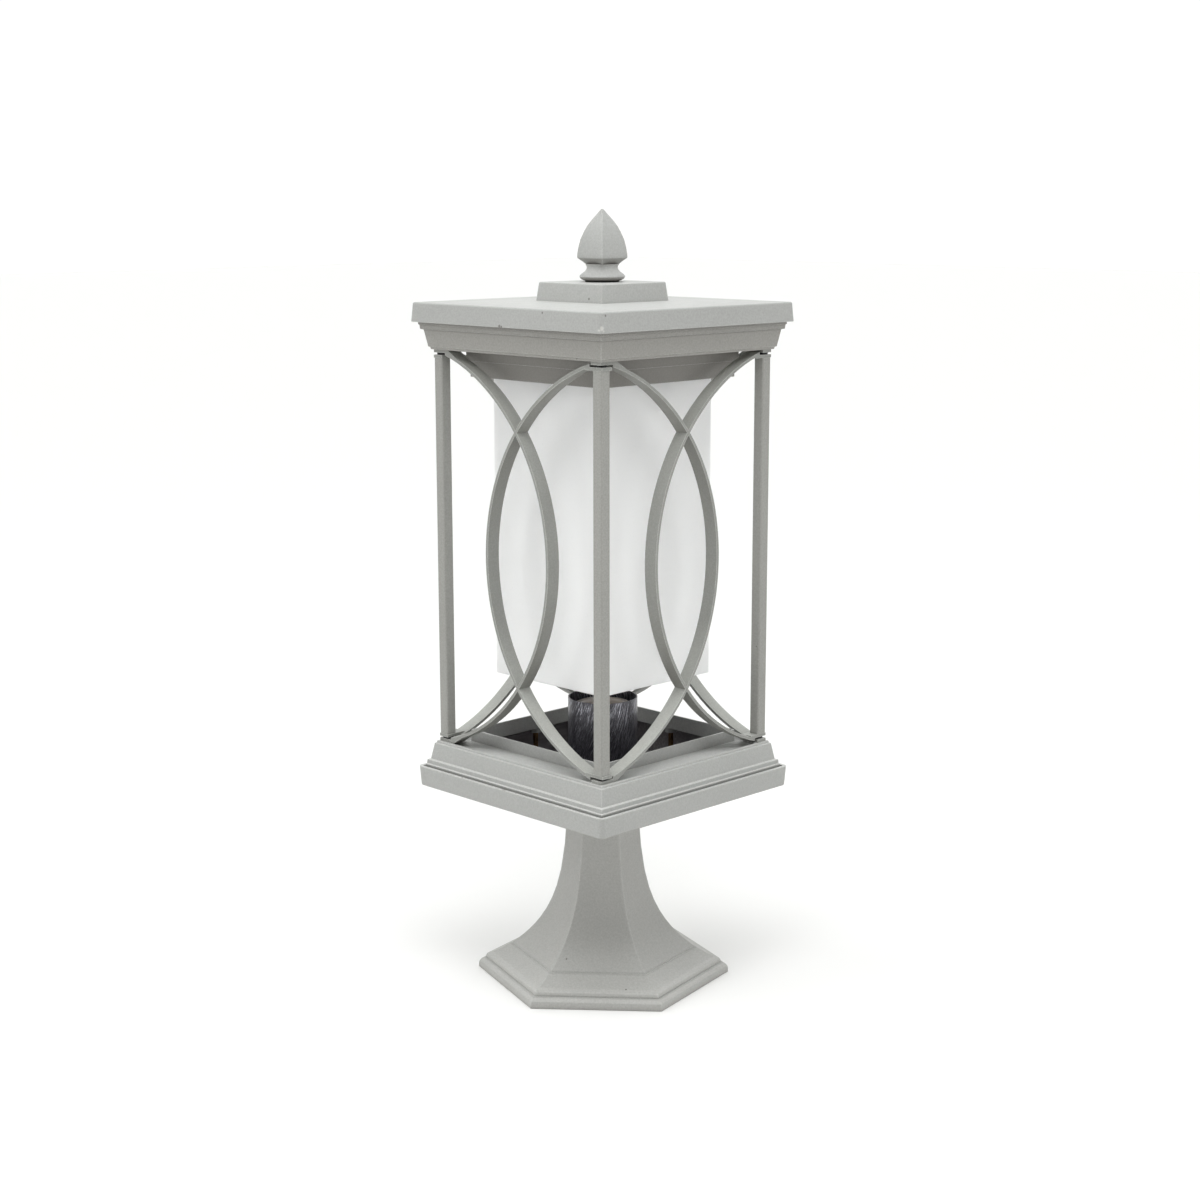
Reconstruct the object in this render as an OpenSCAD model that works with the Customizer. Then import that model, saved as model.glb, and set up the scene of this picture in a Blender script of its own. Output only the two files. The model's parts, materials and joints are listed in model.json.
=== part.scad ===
// Square pillar lantern on a hexagonal pedestal.
// Units are millimetres. The origin is the centre of the foot, +Z is up, and the lantern's four
// faces look along X and Y. The front is -Y and the right is +X.

/* [Overall] */
// Height of the pedestal, from the ground to the underside of the tray
pedestal_height = 150; // [140:1:170]
// Length of the four corner posts
post_length = 287; // [275:1:300]
// Turn of the pedestal away from a face square to the front right corner, in degrees
pedestal_turn = -3.2; // [-6:0.1:6]

/* [Pedestal] */
// Circumscribed radius of the foot
foot_radius = 98; // [96:0.5:102]
// Circumscribed radius of the column at its top
column_radius = 26.4; // [25.5:0.1:30]
// Wall thickness of the pedestal casting
pedestal_wall = 4.2; // [3.6:0.1:4.6]
// Diameter of the circle of anchor holes in the mounting plate
anchor_circle = 120; // [110:1:124]
// Radius of the anchor holes
anchor_hole = 4.5; // [3.5:0.5:5]

/* [Posts and arches] */
// Side of the square posts
post_side = 8.8; // [8:0.1:9.2]
// Width of an arch bar at its front face
arch_width = 2.2; // [1.8:0.1:3]
// Extra half width of an arch bar at mid depth
arch_swell = 0.5; // [0.2:0.1:0.6]
// Depth of the arch bars, front to back
arch_depth = 11; // [9.5:0.5:11.5]

/* [Diffuser] */
// Outside width of the opal box
diffuser_side = 115; // [106:1:130]
// Wall thickness of the opal box
diffuser_wall = 3; // [2:0.5:4]
// Height of the box's open bottom edge above the underside of the tray
diffuser_bottom = 88.8; // [84:0.2:110]

// Depth of the square pan that the box hangs in
shade_drop = 38.8; // [30:0.2:42]

/* [Lampholder] */
// Outside radius of the cup round the lampholder
cup_radius = 26.6; // [25.6:0.1:28]
// Height of the cup's rim above the underside of the tray
cup_top = 70.5; // [67:0.5:80]

/* [Hidden] */
ph = pedestal_height;
rim = 35.3;            // frame rim above the tray's underside
tab = 2.3;             // thickness of an arch tab
gap = 1.6;             // thickness of the washer between two tabs
stack = 2 * tab + gap; // rim to post end
bh = 2 * (rim + stack) + post_length; // tray underside to roof edge
ctr = 84;              // post centre from the lantern's axis
face = 88;             // front faces of posts and arches
fine = 96;

// ---------- helpers ----------

// n-sided ring with mitred corners, from a profile of [distance to the side, height]
module mitred(n, pts, big = 260, low = -20, high = 620) {
  for (k = [0:n - 1]) rotate([0, 0, 360 / n * k]) intersection() {
    translate([0, big / 2, 0]) rotate([90, 0, 0]) linear_extrude(big) polygon(pts);
    translate([0, 0, low]) linear_extrude(high - low)
      polygon([[0, 0], [big, -big * tan(180 / n)], [big, big * tan(180 / n)]]);
  }
}

// square ring with rounded corners whose centres lie c from the axis; pts start at distance c
module rounded(c, pts) {
  for (k = [0:3]) rotate([0, 0, 90 * k]) {
    translate([0, c, 0]) rotate([90, 0, 0]) linear_extrude(2 * c) polygon(pts);
    translate([c, c, 0]) rotate_extrude(angle = 90, $fn = fine) polygon([for (p = pts) [p[0] - c, p[1]]]);
  }
}

module tube(ro, ri, h) difference() {
  cylinder(r = ro, h = h, $fn = fine);
  translate([0, 0, -1]) cylinder(r = ri, h = h + 2, $fn = fine);
}

// machine screw along +Z: head below z = 0, shank above it, with a cross recess
module screw(r, len, rh, hh) {
  difference() {
    union() {
      translate([0, 0, -hh]) cylinder(r = rh, h = hh, $fn = 48);
      cylinder(r = r, h = len, $fn = 48);
    }
    for (a = [0, 90]) rotate([0, 0, a]) translate([-rh * 0.55, -rh * 0.13, -hh - 1]) cube([rh * 1.1, rh * 0.26, 1 + hh * 0.6]);
  }
}

// round wire along a smooth curve that follows the points p; ref is a direction the curve never takes
function unit(v) = v / norm(v);
function curve(p, k = 5) = concat([p[0]], [for (i = [1:len(p) - 2])
  let (a = i == 1 ? p[0] : (p[i - 1] + p[i]) / 2, c = i == len(p) - 2 ? p[i + 1] : (p[i] + p[i + 1]) / 2)
  for (j = [1:k]) let (t = j / k) (1 - t) * (1 - t) * a + 2 * t * (1 - t) * p[i] + t * t * c]);
module wire(p, r, ref) {
  q = curve(p);
  n = len(q);
  polyhedron(
    points = [for (i = [0:n - 1])
      let (t = unit(q[min(i + 1, n - 1)] - q[max(i - 1, 0)]), u = unit(cross(ref, t)), v = cross(t, u))
      for (k = [0:7]) q[i] + r * (cos(45 * k) * u + sin(45 * k) * v)],
    faces = concat([[for (k = [0:7]) k]], [[for (k = [7:-1:0]) (n - 1) * 8 + k]],
      [for (i = [0:n - 2]) for (k = [0:7]) let (j = (k + 1) % 8) [i * 8 + k, (i + 1) * 8 + k, (i + 1) * 8 + j]],
      [for (i = [0:n - 2]) for (k = [0:7]) let (j = (k + 1) % 8) [i * 8 + k, (i + 1) * 8 + j, i * 8 + j]]));
}

// ---------- pedestal and its inside ----------

k6 = cos(30);
foot_top = 21;         // height at which the flare leaves the stepped foot
function flare(z) = k6 * (column_radius + (71 - column_radius) * exp(-(z - foot_top) / 31));
steps = [0, 3, 6.5, 10.5, 15.5, 21.5, 28.5, 37, 47, 61, 81, 106];
top_in = ph - 6;

// n-sided solid lofted through rings of [distance to the side, height], given from the bottom up
module loft(n, pts) {
  m = len(pts);
  polyhedron(
    points = [for (p = pts) for (k = [0:n - 1]) let (r = p[0] / cos(180 / n), a = 360 / n * (k + 0.5)) [r * cos(a), r * sin(a), p[1]]],
    faces = concat([[for (k = [0:n - 1]) k]], [[for (k = [n - 1:-1:0]) (m - 1) * n + k]],
      [for (i = [0:m - 2]) for (k = [0:n - 1]) let (j = (k + 1) % n) [i * n + k, (i + 1) * n + k, (i + 1) * n + j, i * n + j]]));
}

module pedestal() color([0.62, 0.62, 0.59]) rotate([0, 0, -45 + pedestal_turn]) {
  fa = foot_radius * k6;
  outer = concat([[fa, 0], [fa, 3.2], [fa - 0.6, 5.2], [fa - 2.0, 6.8], [fa - 3.9, 7.7], [fa - 4.9, 7.9],
    [fa - 4.9, 9.3], [fa - 5.8, 11.0], [fa - 7.6, 12.0], [fa - 9.8, 12.6], [fa - 14.2, 14.7],
    [fa - 22.0, 20.0], [fa - 23.0, 20.1]],
    [for (s = steps) [flare(foot_top + s), foot_top + s]], [[flare(ph), ph]]);
  inner = concat([[fa - 4.5, -1], [fa - 4.5, 5.6], [fa - 7.2, 7.4], [fa - 10.4, 10.2]],
    [for (s = steps) [flare(foot_top + s) - pedestal_wall, foot_top + s - 1.4]], [[flare(top_in) - pedestal_wall, top_in]]);
  difference() {
    loft(6, outer);
    loft(6, inner);
    translate([0, 0, ph - 10]) cylinder(r = 5.1, h = 20, $fn = fine);
    for (a = [120, 240]) rotate([0, 0, a]) translate([fa - 8, 0, 5]) rotate([0, 90, 0]) cylinder(r = 1.95, h = 12, $fn = 48);
  }
}

module mounting_plate() color([0.6, 0.62, 0.64]) rotate([0, 0, -45 + pedestal_turn]) {
  fa = foot_radius * k6;
  a0 = fa - 5.3;
  difference() {
    union() {
      rotate([0, 0, 30]) cylinder(r = a0 / k6, h = 3, $fn = 6);
      for (a = [120, 240]) rotate([0, 0, a]) translate([a0 - 4.6, -10, 1]) cube([4, 20, 5.4]);
    }
    for (a = [60, 180, 300]) rotate([0, 0, a]) translate([anchor_circle / 2, 0, -1]) cylinder(r = anchor_hole, h = 5, $fn = fine);
    translate([0, 0, -1]) cylinder(r = 10.6, h = 5, $fn = fine);
    for (y = [-9, 9]) rotate([0, 0, 120]) translate([34, y, -1]) cylinder(r = 1.5, h = 5, $fn = 48);
    rotate([0, 0, 240]) translate([34, 0, -1]) cylinder(r = 2.05, h = 5, $fn = 48);
  }
}

module set_screws() color([0.7, 0.7, 0.68]) rotate([0, 0, -45 + pedestal_turn]) {
  fa = foot_radius * k6;
  for (a = [120, 240]) rotate([0, 0, a]) translate([fa - 5.9, 0, 5]) rotate([0, 90, 0]) difference() {
    cylinder(r = 1.9, h = 4.8, $fn = 48);
    translate([0, 0, 2.6]) cylinder(r = 1.1, h = 3, $fn = 6);
  }
}

module cable_grommet() color([0.05, 0.05, 0.05]) difference() {
  rotate_extrude($fn = fine) polygon([[5.5, 0.4], [13, 3.1], [13, 4.8], [10.4, 6.4], [5.5, 6.4]]);
  translate([0, 0, -1]) tube(20, 10.5, 4.05);
}

// the terminal block stands on the plate between the cable hole and the left rear face
module at_block() rotate([0, 0, -45 + pedestal_turn + 120]) children();

module terminal_block() color([0.9, 0.9, 0.86]) at_block() difference() {
  union() {
    translate([26, -17, 3]) cube([16, 34, 8]);
    for (y = [-11.5, 0, 11.5]) translate([28, y - 4.6, 3]) cube([12, 9.2, 15]);
  }
  for (y = [-11.5, 0, 11.5]) {
    translate([25, y, 8.5]) rotate([0, 90, 0]) cylinder(r = 1.9, h = 18, $fn = 48);
    for (x = [31, 37]) translate([x, y, 11]) cylinder(r = 2.1, h = 10, $fn = 48);
  }
  for (y = [-9, 9]) translate([34, y * 0.64, 2]) cylinder(r = 0.9, h = 2, $fn = 48);
}

module terminal_screws() color([0.78, 0.6, 0.3]) at_block()
  for (y = [-11.5, 0, 11.5]) for (x = [31, 37]) translate([x, y, 11.05]) difference() {
    cylinder(r = 2, h = 5, $fn = 48);
    translate([-3, -0.35, 4]) cube([6, 0.7, 2]);
  }

module earth_screw() color([0.78, 0.6, 0.3]) rotate([0, 0, -45 + pedestal_turn + 240]) translate([34, 0, 6.1])
  rotate([180, 0, 0]) screw(2, 5.6, 4, 2.4);

// ---------- leads ----------

module lead(y0, off, c, ytop, htop) color(c) {
  // from the block up through the clamp pipe
  a = -45 + pedestal_turn + 120;
  p0 = [cos(a) * 27.4 - sin(a) * y0, sin(a) * 27.4 + cos(a) * y0, 8.5];
  p1 = [cos(a) * 21 - sin(a) * y0, sin(a) * 21 + cos(a) * y0, 9];
  p2 = [cos(a) * 8 + off[0], sin(a) * 8 + off[1], 40];
  p3 = [off[0], off[1], 90];
  top = [[off[0], off[1], ph + 6], [off[0], off[1], ph + 15.6], [0, ytop, ph + 16.7], [0, ytop, ph + 18], [0, ytop, ph + htop]];
  wire(concat([p0, p1, p2, p3], top), 1.1, [-sin(a), cos(a), 0]);
}
module lead_live() lead(11.5, [1.4, 1.4], [0.35, 0.2, 0.1], 12, 22);
module lead_neutral() lead(0.6, [1.25, -1.55], [0.1, 0.2, 0.6], -12, 22);
module lead_earth() color([0.3, 0.6, 0.15]) {
  a = -45 + pedestal_turn + 120;
  b = a + 120;
  p0 = [cos(a) * 27.4 + sin(a) * 11.5, sin(a) * 27.4 - cos(a) * 11.5, 8.5];
  p1 = [cos(a) * 20 + sin(a) * 13, sin(a) * 20 - cos(a) * 13, 8];
  p2 = [cos(a) * 3 + sin(a) * 10 - 16 * sin(b), sin(a) * 3 - cos(a) * 10 + 16 * cos(b), 9];
  p3 = [cos(b) * 26, sin(b) * 26, 7];
  p4 = [cos(b) * 30.6, sin(b) * 30.6, 5];
  wire([p0, p1, p2, p3, p4], 1.1, [0, 0, 1]);
  translate([cos(b) * 34, sin(b) * 34, 3.05]) tube(4.2, 2.2, 3);
}

// ---------- tray, liner, frames ----------

lug_r = 76;
module at_sides() for (k = [0:3]) rotate([0, 0, 90 * k]) translate([lug_r, 0, 0]) children();
module at_posts() for (x = [-ctr, ctr]) for (y = [-ctr, ctr]) translate([x, y, 0]) children();

module tray() color([0.66, 0.66, 0.63]) translate([0, 0, ph]) difference() {
  c = 96.7;
  union() {
    translate([-c, -c, 0]) cube([2 * c, 2 * c, 3]);
    rounded(c, [[c, 0], [99.3, 0], [99.85, 0.7], [101.1, 15.4], [98.3, 15.4], [97.6, 3], [c, 3]]);
  }
  translate([0, 0, -1]) cylinder(r = 5.1, h = 5, $fn = fine);
  at_sides() { translate([0, 0, -1]) cylinder(r = 2.1, h = 5, $fn = 48); translate([0, 0, -1]) cylinder(r = 4, h = 3, $fn = 48); }
}

module liner_pan() color([0.03, 0.03, 0.035]) translate([0, 0, ph + 3]) difference() {
  translate([-88, -88, 0]) cube([176, 176, 23]);
  translate([-87, -87, 1.2]) cube([174, 174, 30]);
  translate([0, 0, -1]) cylinder(r = 5.1, h = 5, $fn = fine);
  at_sides() translate([0, 0, -1]) cylinder(r = 2.1, h = 5, $fn = 48);
}

module frame() difference() {
  union() {
    mitred(4, [[96.5, 3], [96.5, 16.7], [95.8, 17.3], [95.5, 20.3], [93.6, 20.8], [91.4, 33.2], [90.3, 33.7],
      [90.1, 34.9], [89.7, 35.3], [88.2, 35.3], [87.2, 33.6], [79, 34.5], [71.5, 34.9], [71.5, 44], [70.4, 44],
      [70.4, 32.5], [78, 32], [86.4, 31.1], [88.4, 29.4], [90.4, 19.4], [92.8, 17.2], [93.7, 14.5], [93.7, 3]],
      low = 0, high = 60);
    for (x = [0, 1]) for (y = [0, 1]) mirror([x, 0, 0]) mirror([0, y, 0]) translate([76.5, 76.5, 31.2]) cube([11.9, 11.9, rim - 31.2]);
    at_sides() translate([0, 0, 28.2]) cylinder(r = 4.6, h = 5.6, $fn = 48);
  }
  at_posts() { translate([0, 0, 25]) cylinder(r = 2.05, h = 20, $fn = 48); translate([0, 0, 25]) cylinder(r = 3.8, h = 6.2, $fn = 48); }
  at_sides() translate([0, 0, 20]) cylinder(r = 2.05, h = 12, $fn = 48);
}
module lower_frame() color([0.66, 0.66, 0.63]) translate([0, 0, ph]) frame();
module upper_frame() color([0.58, 0.575, 0.55]) translate([0, 0, ph + bh]) mirror([0, 0, 1]) frame();

module frame_screws() color([0.78, 0.6, 0.3]) at_sides() translate([0, 0, ph + 2]) screw(2, 29, 3.6, 1.8);

// ---------- clamp pipe ----------

module clamp_pipe() color([0.72, 0.72, 0.7]) translate([0, 0, ph - 14]) tube(5, 3.7, 28);
module nut(r, h, bore) difference() { cylinder(r = r, h = h, $fn = 6); translate([0, 0, -1]) cylinder(r = bore, h = h + 2, $fn = fine); }
module pipe_nuts() color([0.72, 0.72, 0.7]) {
  translate([0, 0, ph - 12.5]) nut(9.4, 5, 5.05);
  translate([0, 0, ph + 7.9]) nut(9.4, 5, 5.05);
}
module pipe_washers() color([0.72, 0.72, 0.7]) {
  translate([0, 0, ph - 7.5]) tube(11, 5.2, 1.5);
  translate([0, 0, ph + 6.4]) tube(11, 5.2, 1.5);
}

// ---------- posts ----------

module post(x, y) color([0.6, 0.6, 0.57]) translate([x * ctr, y * ctr, ph + rim + stack]) difference() {
  s = post_side / 2; e = 0.8;
  linear_extrude(post_length) polygon([[s, -s + e], [s, s - e], [s - e, s], [-s + e, s], [-s, s - e], [-s, -s + e], [-s + e, -s], [s - e, -s]]);
  for (z = [-1, post_length - 13]) translate([0, 0, z]) cylinder(r = 2.05, h = 14, $fn = 48);
}
module post_front_right() post(1, -1);
module post_front_left() post(-1, -1);
module post_back_right() post(1, 1);
module post_back_left() post(-1, 1);

// ---------- arch panels ----------

end_u = 76.3;                       // where an arc is cut off before the post
out_u = 32.4;                       // how far an arc's middle passes the panel's middle
half = post_length / 2 + 3.3;       // arc end above the lantern's mid height
arc_r = ((end_u + out_u) * (end_u + out_u) + half * half) / (2 * (end_u + out_u));
edge_u = 88.9;                      // outer end of the tabs
tab_depth = 9.3;                    // front to back size of the tabs

module arc_bar() {
  w = arch_width / 2; m = w + arch_swell;
  turn = asin(half / arc_r) + 0.4;
  translate([out_u - arc_r, -face, 0]) rotate([-90, 0, 0]) rotate([0, 0, -turn])
    rotate_extrude(angle = 2 * turn, $fn = 360)
      polygon([[arc_r - w, 0], [arc_r + w, 0], [arc_r + m, arch_depth / 2], [arc_r + w, arch_depth], [arc_r - w, arch_depth], [arc_r - m, arch_depth / 2]]);
}

// the front panel: one arc from each corner, a tab next to the frame on its left ends, a tab next to the
// post on its right ends
module panel() translate([0, 0, ph + bh / 2]) difference() {
  hz = post_length / 2;
  union() {
    intersection() {
      union() { arc_bar(); mirror([1, 0, 0]) arc_bar(); }
      translate([-end_u, -face - 1, -hz - stack]) cube([2 * end_u, 20, 2 * hz + 2 * stack]);
    }
    for (m = [0, 1]) mirror([0, 0, m]) {
      translate([-edge_u, -face, hz + tab + gap]) cube([edge_u - 75, tab_depth, tab]);
      translate([72, -face, hz]) cube([edge_u - 72, tab_depth, tab]);
      translate([0, -face, 0]) mirror([0, 1, 0]) rotate([90, 0, 0]) linear_extrude(arch_depth)
        polygon([[-end_u, hz + stack], [-73.2, hz + stack], [-62.5, hz - 0.6], [-74.5, hz + 2.2], [-end_u, hz + tab + gap]]);
    }
  }
  for (x = [-ctr, ctr]) translate([x, -ctr, -hz - 20]) cylinder(r = 2.15, h = 2 * hz + 40, $fn = 48);
}
module arch_front() color([0.62, 0.62, 0.59]) panel();
module arch_right() color([0.62, 0.62, 0.59]) rotate([0, 0, 90]) panel();
module arch_back() color([0.62, 0.62, 0.59]) rotate([0, 0, 180]) panel();
module arch_left() color([0.62, 0.62, 0.59]) rotate([0, 0, 270]) panel();

module post_screws() color([0.75, 0.75, 0.73]) {
  at_posts() translate([0, 0, ph + 31.2]) screw(2, 20, 3.6, 2.6);
  at_posts() translate([0, 0, ph + bh - 31.2]) mirror([0, 0, 1]) screw(2, 20, 3.6, 2.6);
}
module post_washers() color([0.3, 0.3, 0.3]) at_posts() {
  translate([0, 0, ph + rim + tab]) tube(3.8, 2.1, gap);
  translate([0, 0, ph + bh - rim - tab - gap]) tube(3.8, 2.1, gap);
}

// ---------- lampholder ----------

module cup() color([0.1, 0.1, 0.11]) translate([0, 0, ph + 4.2]) difference() {
  cylinder(r = cup_radius, h = cup_top - 4.2, $fn = fine);
  translate([0, 0, 1]) cylinder(r = cup_radius - 1, h = 200, $fn = fine);
  translate([0, 0, -1]) cylinder(r = 5.1, h = 5, $fn = fine);
}
module holder_bracket() color([0.7, 0.7, 0.7]) translate([0, 0, ph + 5.2]) difference() {
  union() {
    translate([-18, -6, 0]) cube([36, 12, 1.2]);
    for (m = [0, 1]) mirror([m, 0, 0]) { translate([16.8, -6, 0]) cube([1.2, 12, 12.8]); translate([10.5, -6, 11.6]) cube([7.5, 12, 1.2]); }
  }
  translate([0, 0, -1]) cylinder(r = 5.1, h = 4, $fn = fine);
  for (x = [-14, 14]) translate([x, 0, 8]) cylinder(r = 1.6, h = 8, $fn = 48);
}
module holder_screws() color([0.75, 0.75, 0.73]) for (x = [-14, 14]) translate([x, 0, ph + 16.8]) screw(1.5, 8, 2.3, 1.8);
module lampholder() color([0.93, 0.88, 0.85]) translate([0, 0, ph]) difference() {
  rotate_extrude($fn = fine) polygon([[0, 18], [20.6, 18], [22.1, 19.5], [22.1, 63.4], [21.4, 64.7], [19.8, 65.2], [16.4, 65.2], [15.2, 64.5],
    [14.4, 62.5], [14.4, 31], [0, 31]]);
  for (x = [-14, 14]) translate([x, 0, 17]) cylinder(r = 1.55, h = 9, $fn = 48);
  for (y = [-12, 12]) translate([0, y, 17]) cylinder(r = 1.3, h = 8, $fn = 48);
}
module screw_shell() color([0.8, 0.66, 0.38]) translate([0, 0, ph + 35]) tube(14.35, 13.15, 24);
module centre_contact() color([0.8, 0.66, 0.38]) translate([0, 0, ph + 31]) {
  translate([-8, -2, 0]) cube([13, 4, 0.5]);
  translate([0, 0, 0.4]) cylinder(r = 2.4, h = 2.2, $fn = 48);
}

// ---------- roof and what hangs from it ----------

module roof() color([0.68, 0.69, 0.67]) translate([0, 0, ph + bh]) difference() {
  c = 96.7;
  union() {
    mitred(4, [[0, 11.3], [30, 11.3], [31.3, -3], [c, -3], [c, -0.7], [34.5, 0.4], [33.0, 13.5], [32.4, 14.1], [0, 14.1]], low = -30, high = 40);
    rounded(c, [[c, -3], [98.2, -3], [99.5, -14.9], [101.4, -14.9], [99.95, -1.5], [99.2, -0.7], [c, -0.7]]);
  }
  translate([0, 0, 5]) cylinder(r = 4.2, h = 20, $fn = fine);
  for (a = [90, 180]) rotate([0, 0, a]) translate([90, 0, -9]) rotate([0, 90, 0]) cylinder(r = 2.55, h = 15, $fn = 48);
}
module roof_screws() color([0.7, 0.7, 0.68]) translate([0, 0, ph + bh])
  for (a = [90, 180]) rotate([0, 0, a]) translate([96.56, 0, -9]) rotate([0, 90, 0]) difference() {
    cylinder(r = 2.5, h = 4.1, $fn = 48);
    translate([0, 0, 2]) cylinder(r = 1.4, h = 3, $fn = 6);
  }

dt = ph + bh - 18;   // top of the opal box
module diffuser() color([0.93, 0.93, 0.93]) difference() {
  s = diffuser_side; w = diffuser_wall; z0 = ph + diffuser_bottom;
  translate([-s / 2, -s / 2, z0]) cube([s, s, dt - z0]);
  translate([-s / 2 + w, -s / 2 + w, z0 - 1]) cube([s - 2 * w, s - 2 * w, dt - z0 + 1 - 3]);
  translate([0, 0, dt - 10]) cylinder(r = 4.2, h = 20, $fn = fine);
}
// square pan over the opal box; its sides hang inside the upper frame
module shade_holder() color([0.6, 0.595, 0.57]) translate([0, 0, dt]) difference() {
  c = 67.9;
  union() {
    translate([-c, -c, 0]) cube([2 * c, 2 * c, 1.2]);
    rounded(c, [[c, 0], [c + 0.8, 0], [c + 0.8, 1.2 - shade_drop], [c + 2, 1.2 - shade_drop], [c + 2, 1.2], [c, 1.2]]);
  }
  translate([0, 0, -1]) cylinder(r = 4.2, h = 4, $fn = fine);
}
module stud() color([0.72, 0.72, 0.7]) translate([0, 0, dt - 13]) cylinder(r = 4, h = ph + bh + 35.2 - dt + 13, $fn = fine);
module spacer_tube() color([0.72, 0.72, 0.7]) translate([0, 0, dt + 1.2]) union() {
  tube(7, 4.2, ph + bh + 10.1 - dt);
  tube(16, 4.2, 1.5);
}
module clamp_disc() color([0.72, 0.72, 0.7]) translate([0, 0, dt - 4.5]) tube(18, 4.2, 1.5);
module stud_nut() color([0.72, 0.72, 0.7]) translate([0, 0, dt - 11]) nut(7.5, 6.5, 4.05);

module finial_washer() color([0.06, 0.06, 0.06]) translate([0, 0, ph + bh + 14.1]) tube(12.6, 4.1, 1.1);

// the finial: a square bud on a round foot, with a blind threaded bore
module finial() color([0.7, 0.71, 0.69]) translate([0, 0, ph + bh + 15.2]) difference() {
  q = sqrt(0.5);
  union() {
    mitred(4, [for (p = [[0, 51.8], [0.9, 51.5], [3.6, 48.4], [7.95, 43.6], [11.2, 39.4], [13.6, 35.1], [16.0, 29.9], [17.5, 24.5],
      [18.4, 19.2], [18.6, 17.1], [18.3, 16.2], [15.2, 14.2], [12.4, 12.0], [11.2, 9.4], [0, 9.4]]) [p[0] * q, p[1]]], low = -5, high = 60);
    rotate_extrude($fn = fine) polygon([[0, 0], [13.8, 0], [15.9, 1.1], [16.8, 2.6], [16.5, 3.6], [15.6, 4.6], [13.0, 6.4], [11.8, 7.9],
      [11.4, 9.3], [11.6, 10.8], [11.9, 11.8], [0, 12.5]]);
  }
  translate([0, 0, -1]) cylinder(r = 4.05, h = 26, $fn = fine);
}

// ---------- output ----------

pedestal();
mounting_plate();
set_screws();
cable_grommet();
terminal_block();
terminal_screws();
earth_screw();
lead_live();
lead_neutral();
lead_earth();
tray();
liner_pan();
frame_screws();
clamp_pipe();
pipe_nuts();
pipe_washers();
lower_frame();
upper_frame();
post_front_right();
post_front_left();
post_back_right();
post_back_left();
arch_front();
arch_right();
arch_back();
arch_left();
post_screws();
post_washers();
cup();
lampholder();
screw_shell();
centre_contact();
holder_bracket();
holder_screws();
roof();
roof_screws();
shade_holder();
diffuser();
stud();
spacer_tube();
clamp_disc();
stud_nut();
finial_washer();
finial();
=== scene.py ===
"""Looks of the pillar lantern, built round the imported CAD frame. Lengths in metres."""
import json
import math
import random

import bmesh
import bpy
from mathutils import Matrix, Vector

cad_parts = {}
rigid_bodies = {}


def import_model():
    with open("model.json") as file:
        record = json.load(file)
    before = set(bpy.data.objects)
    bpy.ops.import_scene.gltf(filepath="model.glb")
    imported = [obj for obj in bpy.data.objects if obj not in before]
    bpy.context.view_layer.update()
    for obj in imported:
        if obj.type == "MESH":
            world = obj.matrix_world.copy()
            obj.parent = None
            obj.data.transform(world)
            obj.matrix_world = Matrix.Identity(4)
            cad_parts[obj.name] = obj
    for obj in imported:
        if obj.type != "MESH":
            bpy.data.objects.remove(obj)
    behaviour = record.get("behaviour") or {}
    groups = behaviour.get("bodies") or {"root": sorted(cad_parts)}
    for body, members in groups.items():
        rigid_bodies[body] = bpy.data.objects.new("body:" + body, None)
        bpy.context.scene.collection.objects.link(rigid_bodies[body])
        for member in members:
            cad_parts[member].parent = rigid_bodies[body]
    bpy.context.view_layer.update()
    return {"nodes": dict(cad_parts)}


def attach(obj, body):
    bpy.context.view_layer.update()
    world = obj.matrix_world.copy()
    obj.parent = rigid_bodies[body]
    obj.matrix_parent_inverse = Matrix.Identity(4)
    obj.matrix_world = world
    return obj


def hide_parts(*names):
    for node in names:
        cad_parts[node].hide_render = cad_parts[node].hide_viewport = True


for o in list(bpy.data.objects):
    bpy.data.objects.remove(o, do_unlink=True)

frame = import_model()
NODES = frame["nodes"]
PH = 0.150            # underside of the tray above the ground
BH = 0.370            # tray underside to roof datum
rng = random.Random(11)
scene = bpy.context.scene


# ---------------------------------------------------------------- node helpers

def srgb(r, g, b):
    def lin(c):
        c /= 255
        return c / 12.92 if c <= 0.04045 else ((c + 0.055) / 1.055) ** 2.4
    return (lin(r), lin(g), lin(b), 1)


def mul(c, k):
    return (c[0] * k, c[1] * k, c[2] * k, 1)


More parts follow.
